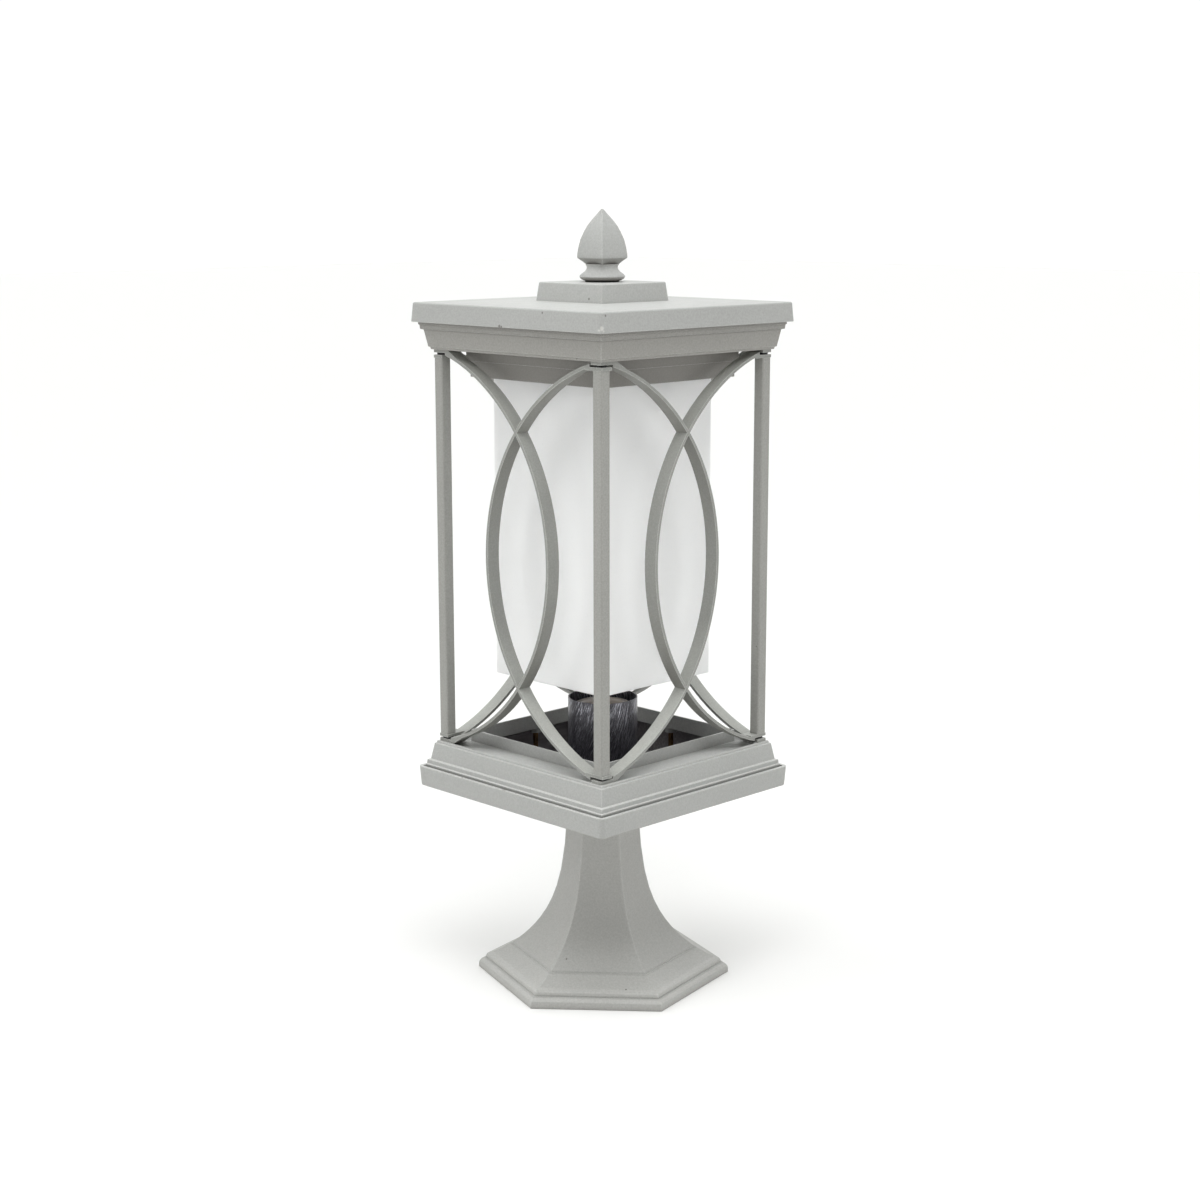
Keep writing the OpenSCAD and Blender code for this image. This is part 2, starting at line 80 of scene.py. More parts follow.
class Mat:
    """A material and short ways to add nodes to it."""

    def __init__(self, name):
        self.m = bpy.data.materials.new(name)
        self.m.use_nodes = True
        self.nt = self.m.node_tree
        self.nt.nodes.clear()
        self.out = self.nt.nodes.new("ShaderNodeOutputMaterial")
        self.bsdf = self.nt.nodes.new("ShaderNodeBsdfPrincipled")
        self.nt.links.new(self.bsdf.outputs[0], self.out.inputs[0])
        self.tc = self.nt.nodes.new("ShaderNodeTexCoord")

    def link(self, a, b):
        self.nt.links.new(a, b)

    def put(self, socket, v):
        if isinstance(v, bpy.types.NodeSocket):
            self.link(v, socket)
        elif v is not None:
            socket.default_value = v

    def coord(self, scale=(1, 1, 1), rot=(0, 0, 0), loc=(0, 0, 0)):
        n = self.nt.nodes.new("ShaderNodeMapping")
        self.link(self.tc.outputs["Object"], n.inputs[0])
        n.inputs["Scale"].default_value = scale
        n.inputs["Rotation"].default_value = rot
        n.inputs["Location"].default_value = loc
        return n.outputs[0]

    def noise(self, scale, detail=2.0, rough=0.5, vec=None, dist=0.0):
        n = self.nt.nodes.new("ShaderNodeTexNoise")
        self.link(vec if vec is not None else self.tc.outputs["Object"], n.inputs["Vector"])
        n.inputs["Scale"].default_value = scale
        n.inputs["Detail"].default_value = detail
        n.inputs["Roughness"].default_value = rough
        n.inputs["Distortion"].default_value = dist
        return n.outputs[0]

    def voronoi(self, scale, feature="F1", vec=None, out="Distance"):
        n = self.nt.nodes.new("ShaderNodeTexVoronoi")
        n.feature = feature
        self.link(vec if vec is not None else self.tc.outputs["Object"], n.inputs["Vector"])
        n.inputs["Scale"].default_value = scale
        return n.outputs[out]

    def ramp(self, v, a, b, c=0.0, d=1.0):
        """Maps a..b to c..d, clamped."""
        n = self.nt.nodes.new("ShaderNodeMapRange")
        self.put(n.inputs[0], v)
        n.inputs[1].default_value, n.inputs[2].default_value = a, b
        n.inputs[3].default_value, n.inputs[4].default_value = c, d
        return n.outputs[0]

    def math(self, op, a, b=0.0, clamp=False):
        n = self.nt.nodes.new("ShaderNodeMath")
        n.operation = op
        n.use_clamp = clamp
        self.put(n.inputs[0], a)
        self.put(n.inputs[1], b)
        return n.outputs[0]

    def mix(self, f, a, b, blend="MIX"):
        n = self.nt.nodes.new("ShaderNodeMix")
        n.data_type = "RGBA"
        n.blend_type = blend
        self.put(n.inputs[0], f)
        self.put(n.inputs[6], a)
        self.put(n.inputs[7], b)
        return n.outputs[2]

    def edge(self, radius, lo=0.02, hi=0.20):
        """1 on convex and concave edges, 0 on open faces."""
        b = self.nt.nodes.new("ShaderNodeBevel")
        b.samples = 6
        b.inputs[0].default_value = radius
        g = self.nt.nodes.new("ShaderNodeNewGeometry")
        d = self.nt.nodes.new("ShaderNodeVectorMath")
        d.operation = "DOT_PRODUCT"
        self.link(b.outputs[0], d.inputs[0])
        self.link(g.outputs["Normal"], d.inputs[1])
        return self.ramp(self.math("SUBTRACT", 1.0, d.outputs["Value"]), lo, hi)

    def ao(self, dist, samples=6, inside=False):
        n = self.nt.nodes.new("ShaderNodeAmbientOcclusion")
        n.samples = samples
        n.inside = inside
        n.inputs["Distance"].default_value = dist
        return n.outputs["AO"]

    def bump(self, height, strength, distance, normal=None):
        n = self.nt.nodes.new("ShaderNodeBump")
        n.inputs["Strength"].default_value = strength
        n.inputs["Distance"].default_value = distance
        self.link(height, n.inputs["Height"])
        if normal is not None:
            self.link(normal, n.inputs["Normal"])
        return n.outputs[0]

    def spot(self, centre, radius, stretch=(1, 1, 1)):
        """1 inside a small round or stretched spot, 0 outside."""
        v = self.nt.nodes.new("ShaderNodeVectorMath")
        v.operation = "SUBTRACT"
        self.link(self.tc.outputs["Object"], v.inputs[0])
        v.inputs[1].default_value = centre
        s = self.nt.nodes.new("ShaderNodeVectorMath")
        s.operation = "MULTIPLY"
        self.link(v.outputs[0], s.inputs[0])
        s.inputs[1].default_value = stretch
        d = self.nt.nodes.new("ShaderNodeVectorMath")
        d.operation = "LENGTH"
        self.link(s.outputs[0], d.inputs[0])
        return self.ramp(d.outputs["Value"], radius * 0.55, radius, 1.0, 0.0)

    def set(self, **kw):
        names = {"base": "Base Color", "rough": "Roughness", "metal": "Metallic", "normal": "Normal", "ior": "IOR",
                 "coat": "Coat Weight", "coat_rough": "Coat Roughness", "spec": "Specular IOR Level",
                 "sss": "Subsurface Weight", "sss_scale": "Subsurface Scale", "sss_radius": "Subsurface Radius",
                 "aniso": "Anisotropic", "trans": "Transmission Weight"}
        for k, v in kw.items():
            self.put(self.bsdf.inputs[names[k]], v)
        return self.m


# ---------------------------------------------------------------- materials

def powder_coat(name="casting_look", tone=(167, 168, 166), up_face_light=1.33, slope=(0.55, 0.95), roof_top_light=1.0, corner_shade=0.42, nook=0.0032, rub_and_sheen=0.0008, painted_bands=()):
    """Light grey powder coat on cast aluminium: fine sandy grain, slow tone drift, pale edges that are partly wear and
    partly painted highlight, painted shade in corners and on faces that look down, painted top light on faces that
    look up.
    """
    m = Mat(name)
    base = srgb(*tone)
    drift = m.ramp(m.noise(9, 3, 0.55), 0.35, 0.65)
    cloud = m.ramp(m.noise(60, 3, 0.6), 0.3, 0.7)
    grain = m.noise(760, 3, 0.72)
    speck = m.ramp(m.voronoi(640), 0.06, 0.30)
    c = m.mix(drift, mul(base, 0.975), mul(base, 1.02))
    c = m.mix(m.math("MULTIPLY", cloud, 0.4), c, m.mix(0.06, c, srgb(160, 156, 144)))
    c = m.mix(m.ramp(grain, 0.36, 0.64), m.mix(1.0, c, (0.915, 0.913, 0.91, 1), "MULTIPLY"), m.mix(1.0, c, (1.075, 1.075, 1.075, 1), "MULTIPLY"))
    c = m.mix(m.ramp(speck, 0.0, 1.0, 0.09, 0.0), c, srgb(118, 114, 108))
    # painted shade inside the upper frame: the tone within the frame ring is painted darker
    p = m.nt.nodes.new("ShaderNodeSeparateXYZ")
    m.link(m.tc.outputs["Object"], p.inputs[0])
    reach = m.math("MAXIMUM", m.math("ABSOLUTE", p.outputs[0]), m.math("ABSOLUTE", p.outputs[1]))
    inside = m.math("MULTIPLY", m.ramp(reach, 0.0765, 0.0745), m.ramp(p.outputs[2], PH + 0.30, PH + 0.31))
    inside = m.math("MULTIPLY", inside, m.ramp(p.outputs[2], PH + BH - 0.001, PH + BH - 0.003))
    c = m.mix(m.math("MULTIPLY", inside, 0.5), c, srgb(104, 100, 95))
    # painted light: faces that look up are painted lighter as painted top light, faces that look down are painted
    # darker as painted shade
    g = m.nt.nodes.new("ShaderNodeNewGeometry")
    gz = m.nt.nodes.new("ShaderNodeSeparateXYZ")
    m.link(g.outputs["Normal"], gz.inputs[0])
    patchy = m.ramp(m.noise(75, 3, 0.6), 0.3, 0.7, 0.85, 1.0)
    c = m.mix(m.math("MULTIPLY", m.ramp(gz.outputs[2], *slope), patchy), c, m.mix(1.0, c, (up_face_light, up_face_light, up_face_light * 1.004, 1), "MULTIPLY"))
    # painted top light: the top of the roof painted paler
    if roof_top_light != 1.0:
        c = m.mix(m.ramp(p.outputs[2], PH + BH - 0.0012, PH + BH), c, m.mix(1.0, c, (roof_top_light, roof_top_light, roof_top_light, 1), "MULTIPLY"))
    # painted shade: faces that look down painted darker
    c = m.mix(m.ramp(gz.outputs[2], -0.05, -0.5), c, m.mix(1.0, c, (0.84, 0.825, 0.81, 1), "MULTIPLY"))
    # painted shade and painted highlight lines along the steps: lowest and highest point, factor
    for z0, z1, k in painted_bands:
        line = m.math("MULTIPLY", m.ramp(p.outputs[2], z0 - 0.0004, z0), m.ramp(p.outputs[2], z1 + 0.0004, z1))
        c = m.mix(m.math("MULTIPLY", line, patchy), c, m.mix(1.0, c, (k, k, k, 1), "MULTIPLY"))
    # painted shade in the corners, from ambient occlusion
    air = m.ao(nook, 5)
    shade_mask = m.ramp(air, 0.2, 0.8, 1.0, 0.0)
    c = m.mix(m.math("MULTIPLY", shade_mask, corner_shade), c, srgb(98, 92, 86))
    # pale edges, partly wear and partly painted highlight, a little broken up
    pale_edge = m.math("MULTIPLY", m.edge(rub_and_sheen, 0.015, 0.12), m.ramp(m.noise(210, 2, 0.5), 0.35, 0.6, 0.55, 1.0), clamp=True)
    pale_edge = m.math("MULTIPLY", pale_edge, m.ramp(air, 0.70, 0.92))
    c = m.mix(m.math("MULTIPLY", pale_edge, 0.62), c, srgb(212, 213, 210))
    # pits where the coat did not close
    pit = m.math("MULTIPLY", m.ramp(m.voronoi(46), 0.030, 0.040, 1.0, 0.0), m.ramp(m.noise(23, 1), 0.52, 0.56))
    for at, r in PITS:
        pit = m.math("MAXIMUM", pit, m.spot(at, r))
    c = m.mix(m.math("MULTIPLY", pit, 0.75), c, srgb(88, 84, 78))
    # painted glints: small bright spots painted on the roof's front corner
    for at, r, s in PAINTED_GLINTS:
        c = m.mix(m.math("MULTIPLY", m.spot(at, r, s), 0.5), c, srgb(205, 204, 198))
    rough = m.math("ADD", m.ramp(m.noise(130, 3, 0.6), 0.3, 0.7, 0.40, 0.52), m.math("MULTIPLY", pale_edge, -0.10))
    h = m.math("ADD", m.math("ADD", grain, m.math("MULTIPLY", m.noise(520, 2, 0.5), 0.5)), m.math("MULTIPLY", speck, 0.3))
    n = m.bump(h, 0.30, 0.00012)
    n = m.bump(m.math("SUBTRACT", m.math("MULTIPLY", m.noise(95, 2, 0.5), 0.6), m.math("MULTIPLY", pit, 0.8)), 0.25, 0.0003, n)
    return m.set(base=c, rough=rough, normal=n, spec=0.42)


def zinc(name, tone=(196, 197, 196), rough=0.32, blue=0.0):
    """Plated or turned steel with fine tool lines."""
    m = Mat(name)
    base = srgb(*tone)
    lines = m.noise(900, 2, 0.6, m.coord((1, 1, 0.08)))
    spots = m.ramp(m.noise(260, 3, 0.6), 0.35, 0.65)
    c = m.mix(spots, mul(base, 0.82), mul(base, 1.04))
    # painted shade in crevices, from ambient occlusion
    c = m.mix(m.ramp(m.ao(0.004, 4), 0.2, 0.8, 0.45, 0.0), c, srgb(88, 84, 76))
    pale_edge = m.edge(0.0004, 0.02, 0.2)
    c = m.mix(m.math("MULTIPLY", pale_edge, 0.4), c, srgb(226, 226, 224))
    r = m.ramp(lines, 0.3, 0.7, rough - 0.07, rough + 0.10)
    return m.set(base=c, metal=1.0, rough=r, normal=m.bump(lines, 0.16, 0.00006))


def brass(name="brass_look", fresh=(206, 164, 88), dull=(150, 108, 58)):
    m = Mat(name)
    base = srgb(*fresh)
    tarn = m.ramp(m.noise(190, 4, 0.6), 0.38, 0.68)
    c = m.mix(tarn, base, srgb(*dull))
    # painted shade in crevices, from ambient occlusion
    c = m.mix(m.ramp(m.ao(0.004, 4), 0.2, 0.8, 0.55, 0.0), c, srgb(72, 50, 28))
    c = m.mix(m.math("MULTIPLY", m.edge(0.0004, 0.02, 0.2), 0.5), c, srgb(240, 206, 132))
    lines = m.noise(1100, 2, 0.6, m.coord((1, 1, 0.1)))
    return m.set(base=c, metal=1.0, rough=m.ramp(lines, 0.3, 0.7, 0.24, 0.40), normal=m.bump(lines, 0.14, 0.00005))


def blackened():
    """Blackened sheet-metal cup, rubbed through to bright metal in slanting brush strokes."""
    m = Mat("blackened_look")
    dark = srgb(56, 55, 62)
    bright = srgb(222, 222, 232)
    z = z_of(m)

    def strokes(slant, across, along, detail, rough):
        t = m.nt.nodes.new("ShaderNodeVectorRotate")
        t.rotation_type = "Z_AXIS"
        m.link(m.tc.outputs["Object"], t.inputs["Vector"])
        m.link(m.math("MULTIPLY", z, -slant), t.inputs["Angle"])
        v = m.nt.nodes.new("ShaderNodeVectorMath")
        v.operation = "MULTIPLY"
        m.link(t.outputs[0], v.inputs[0])
        v.inputs[1].default_value = (across, across, along)
        return m.noise(1.0, detail, rough, v.outputs[0])

    s1 = strokes(11.0, 1500, 95, 4, 0.72)
    s2 = strokes(17.0, 1050, 72, 4, 0.70)
    s3 = strokes(7.0, 1700, 210, 3, 0.75)
    patch = m.noise(58, 3, 0.6)
    glint = m.ramp(m.voronoi(1500), 0.34, 0.10)
    # more bright metal toward the top of the cup: partly rubbing and partly painted reflection
    top = m.ramp(m.math("ADD", z, m.math("MULTIPLY", m.noise(70, 2, 0.5), 0.012)), PH + 0.020, PH + 0.070)
    a = m.math("MULTIPLY", m.ramp(s1, 0.52, 0.66), m.ramp(patch, 0.34, 0.56))
    b = m.math("MULTIPLY", m.ramp(s2, 0.56, 0.66), m.ramp(patch, 0.62, 0.42))
    d = m.math("MULTIPLY", m.ramp(s3, 0.54, 0.70), m.math("ADD", 0.35, m.math("MULTIPLY", glint, 0.65)))
    rub_and_sheen = m.math("MAXIMUM", m.math("MULTIPLY", a, 0.95), m.math("MAXIMUM", m.math("MULTIPLY", b, 0.95), d))
    rub_and_sheen = m.math("MULTIPLY", rub_and_sheen, m.ramp(top, 0.0, 1.0, 0.34, 0.95), clamp=True)
    rub_and_sheen = m.math("MAXIMUM", rub_and_sheen, m.math("MULTIPLY", m.edge(0.0007, 0.03, 0.2), 0.5))
    c = m.mix(rub_and_sheen, dark, bright)
    r = m.ramp(rub_and_sheen, 0.0, 1.0, 0.33, 0.24)
    n = m.bump(m.math("ADD", s1, m.math("ADD", m.math("MULTIPLY", s2, 0.6), m.math("MULTIPLY", s3, 0.5))), 0.40, 0.00012)
    return m.set(base=c, metal=m.ramp(rub_and_sheen, 0.0, 0.5, 0.30, 0.95), rough=r, normal=n, spec=0.7)


def z_of(m):
    s = m.nt.nodes.new("ShaderNodeSeparateXYZ")
    m.link(m.tc.outputs["Object"], s.inputs[0])
    return s.outputs[2]


def liner():
    """Dark brown-black lacquered sheet with faint wiped streaks."""
    m = Mat("liner_look")
    streak = m.noise(1.0, 4, 0.68, m.coord((520, 24, 520), (0, 0, 0.79)), 0.3)
    patch = m.noise(34, 3, 0.6)
    k = m.math("MULTIPLY", m.ramp(streak, 0.46, 0.64), m.ramp(patch, 0.36, 0.58))
    c = m.mix(m.math("MULTIPLY", k, 0.45), srgb(128, 124, 127), srgb(196, 192, 193))
    c = m.mix(m.math("MULTIPLY", m.ramp(m.noise(500, 2), 0.55, 0.75), 0.10), c, srgb(120, 118, 112))
    c = m.mix(m.math("MULTIPLY", m.edge(0.0008, 0.02, 0.2), 0.4), c, srgb(96, 98, 100))
    r = m.ramp(m.noise(180, 3), 0.3, 0.7, 0.34, 0.50)
    return m.set(base=c, rough=r, normal=m.bump(m.noise(700, 2, 0.6), 0.15, 0.0001), spec=0.5)


def porcelain():
    m = Mat("porcelain_look")
    base = srgb(254, 245, 239)
    c = m.mix(m.ramp(m.noise(42, 3, 0.5), 0.35, 0.65), base, srgb(244, 230, 220))
    c = m.mix(m.ramp(m.voronoi(260), 0.02, 0.07, 0.30, 0.0), c, srgb(140, 118, 104))
    # painted shade in crevices, from ambient occlusion
    c = m.mix(m.ramp(m.ao(0.002, 5), 0.2, 0.8, 0.1, 0.0), c, srgb(150, 128, 114))
    c = m.mix(m.math("MULTIPLY", m.edge(0.0006, 0.02, 0.2), 0.35), c, srgb(250, 244, 238))
    r = m.ramp(m.noise(90, 2), 0.3, 0.7, 0.16, 0.28)
    n = m.bump(m.noise(75, 2, 0.5), 0.20, 0.0005)
    return m.set(base=c, rough=r, normal=n, coat=0.35, coat_rough=0.12)


def opal():
    """Satin opal acrylic, light scattering, with faint wiping marks."""
    m = Mat("opal_look")
    base = srgb(248, 249, 249)
    c = m.mix(m.ramp(m.noise(14, 2, 0.5), 0.35, 0.65), base, mul(base, 0.975))
    c = m.mix(m.math("MULTIPLY", m.ramp(m.noise(900, 2), 0.62, 0.74), 0.10), c, srgb(190, 190, 186))
    # painted shade in corners, from ambient occlusion
    c = m.mix(m.ramp(m.ao(0.012, 5), 0.1, 0.9, 0.06, 0.0), c, srgb(190, 190, 186))
    c = m.mix(m.math("MULTIPLY", m.edge(0.0012, 0.02, 0.3), 0.25), c, srgb(244, 245, 245))
    wipe = m.noise(1.0, 3, 0.6, m.coord((40, 40, 9), (0.2, 0.1, 0)), 0.4)
    r = m.ramp(wipe, 0.3, 0.7, 0.30, 0.42)
    n = m.bump(m.noise(260, 2, 0.5), 0.05, 0.0002)
    return m.set(base=c, rough=r, normal=n, sss=0.8, sss_scale=0.006, sss_radius=(1.0, 0.98, 0.96), ior=1.49)


def plastic(name, tone, rough=0.45, grain=1200, wear=0.3):
    """Moulded polymer: fine spark texture, scuffed edges, handling dust."""
    m = Mat(name)
    base = srgb(*tone)
    c = m.mix(m.ramp(m.noise(120, 3, 0.6), 0.35, 0.65), mul(base, 0.88), mul(base, 1.06))
    dust = m.math("MULTIPLY", m.ramp(m.noise(600, 3, 0.7), 0.58, 0.72), 0.16)
    c = m.mix(dust, c, srgb(150, 146, 138))
    c = m.mix(m.math("MULTIPLY", m.edge(0.0005, 0.02, 0.2), wear), c, m.mix(0.5, c, (1, 1, 1, 1)))
    r = m.ramp(m.noise(210, 3, 0.6), 0.3, 0.7, rough - 0.06, rough + 0.09)
    return m.set(base=c, rough=r, normal=m.bump(m.noise(grain, 2, 0.6), 0.22, 0.00008))


def P(x, y, z):
    return (x / 1000, y / 1000, z / 1000)


PITS = [(P(20.9, -34.2, 523.4), 0.0011), (P(42.4, -100.1, 516.9), 0.0009), (P(100.1, -95.9, 517.0), 0.0010),
        (P(-1.0, -101.3, 505.9), 0.0014), (P(1.2, -101.3, 505.6), 0.0010), (P(-3.1, -99.6, 165.4), 0.0016)]
# painted glints on the roof's front corner: centre, radius, stretch
PAINTED_GLINTS = [(P(100.1, -99.3, 508.6), 0.0016, (1, 1, 0.8)), (P(100.3, -98.0, 506.6), 0.0011, (1, 1, 1)),
             (P(98.6, -100.4, 507.2), 0.0012, (1, 1, 1.3))]

LOOKS = {
    "casting": powder_coat(),
    "steel": zinc("steel_look", (190, 191, 188), 0.34),
    "stainless": zinc("stainless_look", (205, 205, 203), 0.26),
    "brass": brass(),
    "blackened": blackened(),
    "liner": liner(),
    "porcelain": porcelain(),
    "opal": opal(),
    "rubber": plastic("rubber_look", (26, 26, 27), 0.68, 900, 0.12),
    "nylon": plastic("nylon_look", (222, 220, 210), 0.42),
    "brown": plastic("brown_look", (104, 62, 38), 0.38),
    "blue": plastic("blue_look", (40, 74, 150), 0.38),
    "green": plastic("green_look", (96, 140, 44), 0.38),
}


# lit and shaded copies of the same coat: the slender parts, the upper frame and the pan are painted darker as painted
# shade, and the coat is painted paler above the roof as painted top light;
# their bands are painted shade lines under the mouldings and painted highlight lines on ledges, rims and roundings
SHADED_COPIES_AND_TARNISH = {"posts": powder_coat("casting_look_posts", (148, 148, 144)),
           "arches": powder_coat("casting_look_arches", (139, 140, 136), up_face_light=1.72, slope=(0.3, 0.85)),
           "pan": powder_coat("casting_look_pan", (157, 156, 152)),
           "upper": powder_coat("casting_look_upper", (151, 150, 146), corner_shade=0.7, nook=0.006,
                                 painted_bands=((PH + BH - 0.0176, PH + BH - 0.0163, 0.80), (PH + BH - 0.0211, PH + BH - 0.0200, 0.80))),
           "lower": powder_coat("casting_look_lower", painted_bands=((PH + 0.0163, PH + 0.0175, 1.22), (PH + 0.0200, PH + 0.0210, 1.22))),
           "tray": powder_coat("casting_look_tray", painted_bands=((PH + 0.0150, PH + 0.0156, 1.14),)),
           "roof": powder_coat("casting_look_roof", (160, 161, 159), up_face_light=1.24, roof_top_light=1.15),
           "finial": powder_coat("casting_look_finial", (165, 166, 164), up_face_light=1.0, corner_shade=0.5, nook=0.006),
           "pedestal": powder_coat("casting_look_pedestal", (169, 169, 166), up_face_light=1.08, corner_shade=0.6, nook=0.006, rub_and_sheen=0.0024,
                                    painted_bands=((0.0197, 0.0211, 0.87), (0.0076, 0.0088, 0.90), (0.0106, 0.0124, 1.09),
                                           (0.0054, 0.0072, 1.09), (0.0128, 0.0194, 1.02)))}
COPY_OF = {"shade_holder": "pan", "upper_frame": "upper", "lower_frame": "lower", "tray": "tray", "roof": "roof", "finial": "finial", "pedestal": "pedestal"}
for n in NODES:
    if n.startswith("post_") and n[5:] not in ("screws", "washers"):
        COPY_OF[n] = "posts"
    if n.startswith("arch_"):
        COPY_OF[n] = "arches"


def dress(o, slot, look=None):
    o.data.materials.clear()
    o.data.materials.append(look or LOOKS[slot])


SHADED_COPIES_AND_TARNISH["tarnished"] = brass("brass_look_tarnished", (132, 106, 74), (92, 74, 54))
COPY_OF["frame_screws"] = "tarnished"

for name, o in NODES.items():
    dress(o, o.material_slots[0].material.name.split(".")[0], SHADED_COPIES_AND_TARNISH.get(COPY_OF.get(name)))


# ---------------------------------------------------------------- softened edges on the CAD nodes

def soften(name, width, segs=2, angle=28.0, flat=0.5):
    """Cast and moulded parts have no knife edges: weld, merge flats, round the edges, keep flats flat."""
    o = NODES[name]
    me = o.data
    for a in ("custom_normal", "sharp_edge", "sharp_face"):
        if a in me.attributes:
            me.attributes.remove(me.attributes[a])
    me.shade_smooth()
    w = o.modifiers.new("weld", "WELD")
    w.merge_threshold = 2e-6
    if flat:
        d = o.modifiers.new("flats", "DECIMATE")
        d.decimate_type = "DISSOLVE"
        d.angle_limit = math.radians(flat)
    b = o.modifiers.new("round", "BEVEL")
    b.width = width
    b.segments = segs
    b.limit_method = "ANGLE"
    b.angle_limit = math.radians(angle)
    b.use_clamp_overlap = True
    b.miter_outer = "MITER_ARC"
    b.harden_normals = False
    n = o.modifiers.new("normals", "WEIGHTED_NORMAL")
    n.weight = 60
    n.keep_sharp = False


for n in ("pedestal",):
    soften(n, 0.0008, 3, 24, flat=0)
for n in ("tray", "roof"):
    soften(n, 0.0004, 3, 24)
for n in ("lower_frame", "upper_frame", "shade_holder"):
    soften(n, 0.00028, 3, 24)
for n in ("post_front_right", "post_front_left", "post_back_right", "post_back_left"):
    soften(n, 0.0003, 2, 30)
for n in ("arch_front", "arch_right", "arch_back", "arch_left"):
    soften(n, 0.0004, 2, 24)
soften("finial", 0.0006, 3, 30, flat=0)
soften("diffuser", 0.0011, 3, 30)
soften("liner_pan", 0.0004, 2, 30, flat=0)
soften("lampholder", 0.0003, 2, 26)
soften("cup", 0.0003, 2, 30)
for n in ("mounting_plate", "holder_bracket", "pipe_nuts", "stud_nut", "spacer_tube", "clamp_disc", "pipe_washers",
          "post_washers", "cable_grommet", "terminal_block", "finial_washer", "centre_contact"):
    soften(n, 0.00025, 2, 30)
for n in ("set_screws", "frame_screws", "post_screws", "holder_screws", "roof_screws", "terminal_screws", "earth_screw"):
    soften(n, 0.0002, 2, 35)


# ---------------------------------------------------------------- threaded pieces

def new_piece(name, bm, slot, body, *replaced):
    bmesh.ops.recalc_face_normals(bm, faces=bm.faces)
    me = bpy.data.meshes.new(name)
    bm.to_mesh(me)
    bm.free()
    o = bpy.data.objects.new(name, me)
    scene.collection.objects.link(o)
    dress(o, slot)
    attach(o, body)
    if replaced:
        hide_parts(*replaced)
    return o


def span(name):
    z = [v.co.z for v in NODES[name].data.vertices]
    return min(z), max(z)


def threaded(name, node, slot, body, crest, root, pitch, bore=0.0, taper=0.0008, sides=40, steps=10, profile="vee"):
    """A rod or tube with a real helical thread, chamfered at both ends, in place of the smooth CAD cylinder."""
    z0, z1 = span(node)
    bm = bmesh.new()
    n = int(math.ceil((z1 - z0) / pitch * steps))
    rings = []
    for i in range(n + 1):
        z = z0 + (z1 - z0) * i / n
        cap = min(1.0, (z - z0) / taper, (z1 - z) / taper)
        row = []
        for k in range(sides):
            a = 2 * math.pi * k / sides
            t = ((z - z0) / pitch - k / sides) % 1.0
            if profile == "round":
                h = 0.5 + 0.5 * math.cos(2 * math.pi * t)
            else:
                h = min(1.0, max(0.0, (abs(2 * t - 1) - 0.12) / 0.74))
            r = root + (crest - root) * h
            if cap < 1.0:
                r = min(r, root + (crest - root) * (max(cap, 0.0) * 1.1 - 0.1))
            row.append(bm.verts.new((r * math.cos(a), r * math.sin(a), z)))
        rings.append(row)
    for p, q in zip(rings, rings[1:]):
        for k in range(sides):
            j = (k + 1) % sides
            bm.faces.new((p[k], p[j], q[j], q[k]))
    if bore:
        inner = []
        for z in (z0, z1):
            inner.append([bm.verts.new((bore * math.cos(2 * math.pi * k / sides), bore * math.sin(2 * math.pi * k / sides), z)) for k in range(sides)])
        for k in range(sides):
            j = (k + 1) % sides
            bm.faces.new((inner[0][j], inner[0][k], inner[1][k], inner[1][j]))
            bm.faces.new((rings[0][j], rings[0][k], inner[0][k], inner[0][j]))
            bm.faces.new((rings[-1][k], rings[-1][j], inner[1][j], inner[1][k]))
    else:
        bm.faces.new(tuple(reversed(rings[0])))
        bm.faces.new(tuple(rings[-1]))
    o = new_piece(name, bm, slot, body, node)
    o.data.shade_smooth()
    o.data.set_sharp_from_angle(angle=math.radians(48))
    return o


threaded("stud_threaded", "stud", "steel", "roof", 0.00395, 0.00336, 0.00125)
threaded("clamp_pipe_threaded", "clamp_pipe", "steel", "lantern", 0.00497, 0.00445, 0.001, bore=0.0037, taper=0.0006, sides=44)


def rolled_shell():
    """Lamp thread rolled in thin sheet: round crests outside and inside, and a plain band at each end."""
    z0, z1 = span("screw_shell")
    bm = bmesh.new()
    pitch, mean, amp, wall, sides = 0.003629, 0.01378, 0.00036, 0.0004, 72
    n = 96
    out, inn = [], []
    for i in range(n + 1):
        z = z0 + (z1 - z0) * i / n
        fade = min(1.0, (z - z0) / 0.0018, (z1 - z) / 0.0018)
        fade = fade * fade * (3 - 2 * fade)
        a, b = [], []
        for k in range(sides):
            t = 2 * math.pi * k / sides
            r = mean + amp * fade * math.cos(2 * math.pi * ((z - z0) / pitch - k / sides))
            a.append(bm.verts.new(((r + wall / 2) * math.cos(t), (r + wall / 2) * math.sin(t), z)))
            b.append(bm.verts.new(((r - wall / 2) * math.cos(t), (r - wall / 2) * math.sin(t), z)))
        out.append(a)
        inn.append(b)
    for i in range(n):
        for k in range(sides):
            j = (k + 1) % sides
            bm.faces.new((out[i][k], out[i][j], out[i + 1][j], out[i + 1][k]))
            bm.faces.new((inn[i][j], inn[i][k], inn[i + 1][k], inn[i + 1][j]))
    for k in range(sides):
        j = (k + 1) % sides
        bm.faces.new((out[0][j], out[0][k], inn[0][k], inn[0][j]))
        bm.faces.new((out[n][k], out[n][j], inn[n][j], inn[n][k]))
    o = new_piece("screw_shell_rolled", bm, "brass", "lantern", "screw_shell")
    o.data.shade_smooth()
    o.data.set_sharp_from_angle(angle=math.radians(60))


rolled_shell()


# ---------------------------------------------------------------- studio

